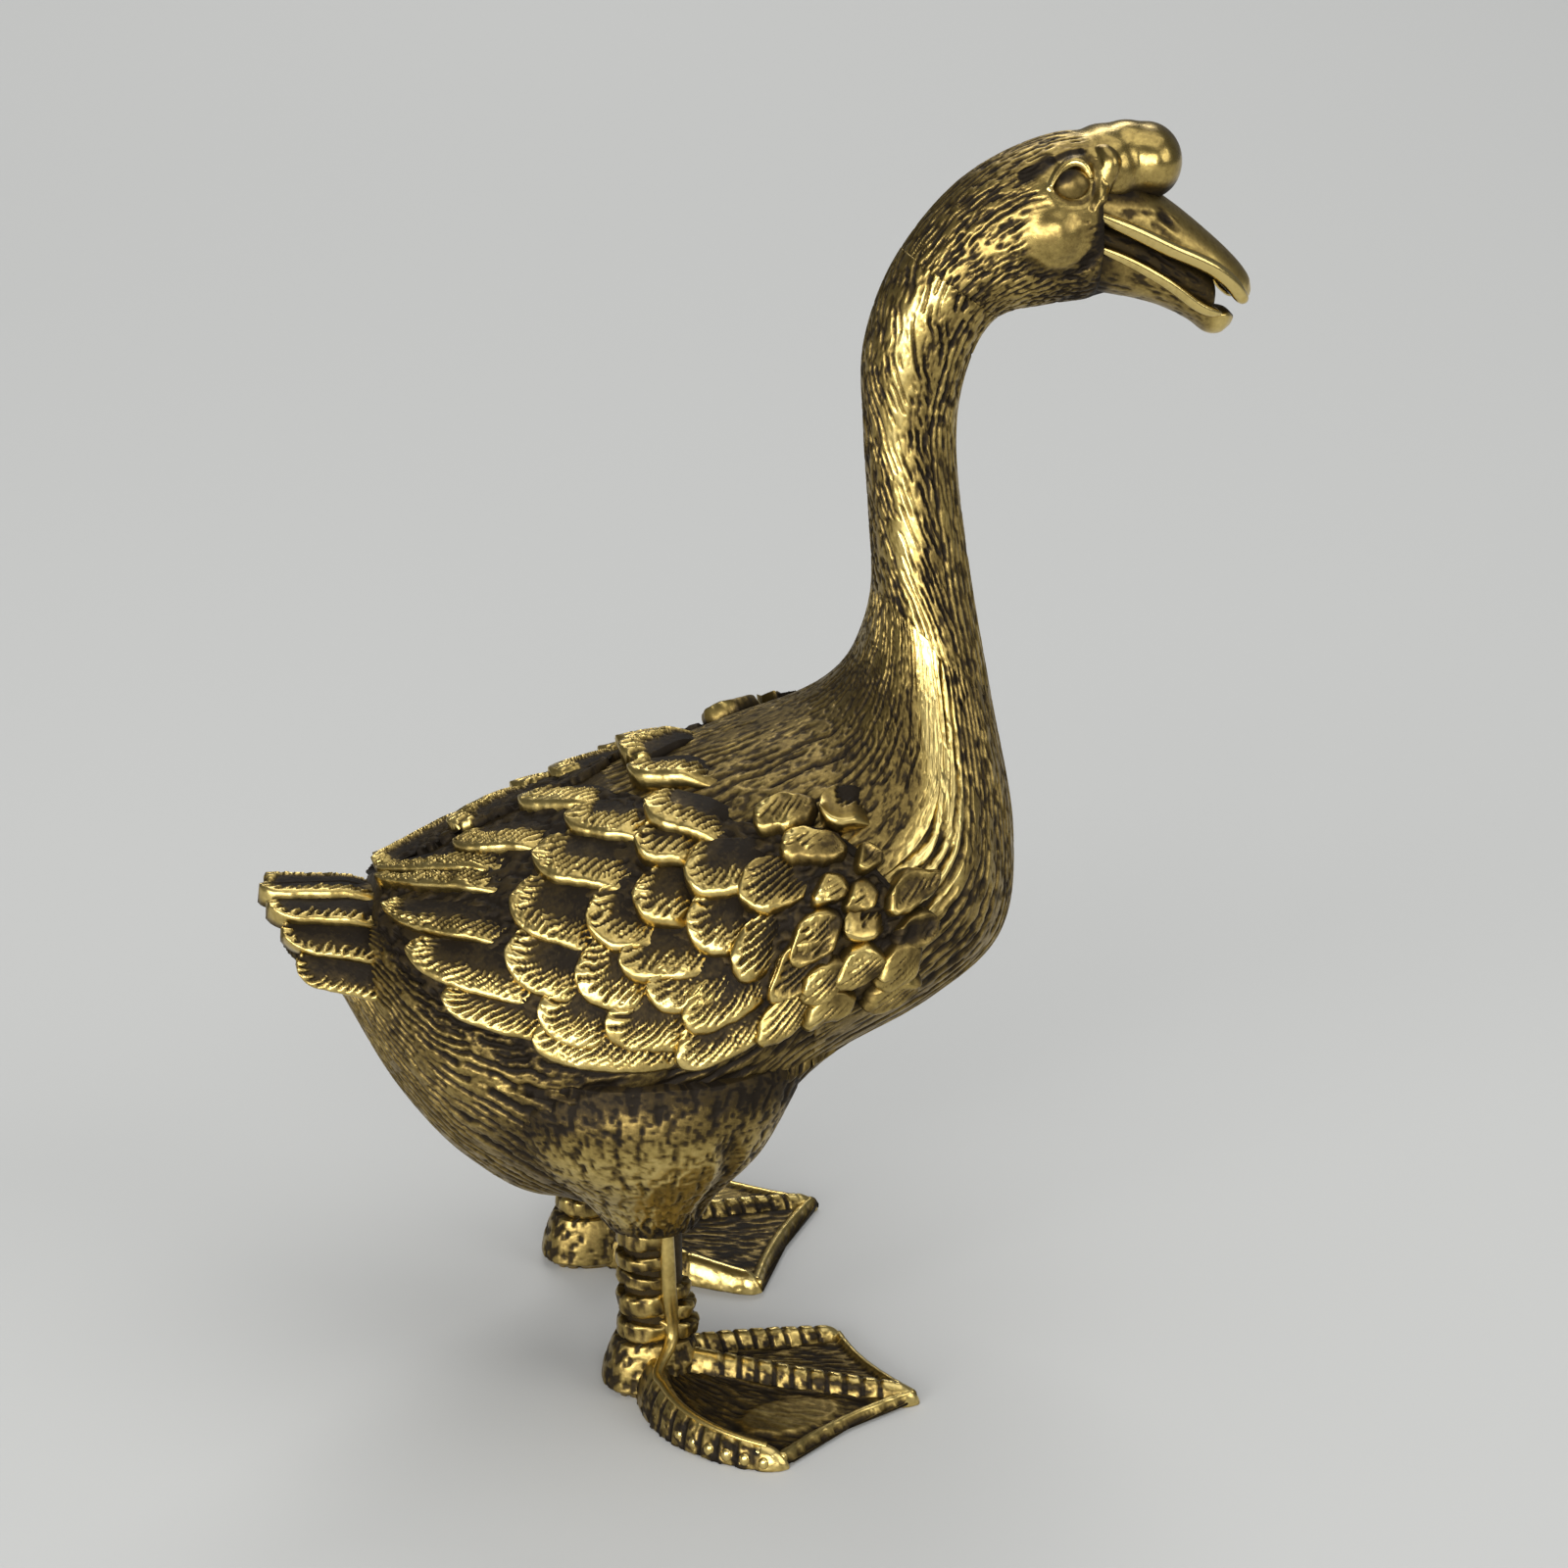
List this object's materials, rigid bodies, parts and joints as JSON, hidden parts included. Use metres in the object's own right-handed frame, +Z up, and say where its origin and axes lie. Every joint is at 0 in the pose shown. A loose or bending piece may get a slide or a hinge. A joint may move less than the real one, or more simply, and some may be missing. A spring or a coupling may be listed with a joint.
{
  "type": "brass goose statue",
  "caption": "Small standing goose figure in antique brass with upright curved neck, forehead knob, open bill, layered feather wings, ringed shanks and flat webbed feet.",
  "frame": {"origin": "middle of the plan box, on the plane of the soles", "axes": "+Z up, +X the way the goose faces, +Y its left side"},
  "size_m": [0.0482, 0.033, 0.0594],
  "materials": {
    "antique_brass": "cast, dark patina in the hollows, rubbed bright on the high parts",
    "polished_brass": "smooth, worn bright",
    "dowel_brass": "drawn rod"
  },
  "bodies": {
    "root": {"torso": "antique_brass", "neck": "antique_brass", "head": "antique_brass", "right_wing": "antique_brass", "left_wing": "antique_brass", "tail_fan": "antique_brass", "right_shank": "antique_brass", "left_shank": "antique_brass", "right_foot": "antique_brass", "left_foot": "antique_brass", "upper_bill": "polished_brass", "lower_bill": "polished_brass", "right_eye": "polished_brass", "left_eye": "polished_brass", "neck_dowel": "dowel_brass", "head_dowel": "dowel_brass", "right_foot_pin": "dowel_brass", "left_foot_pin": "dowel_brass"}
  },
  "joints": []
}
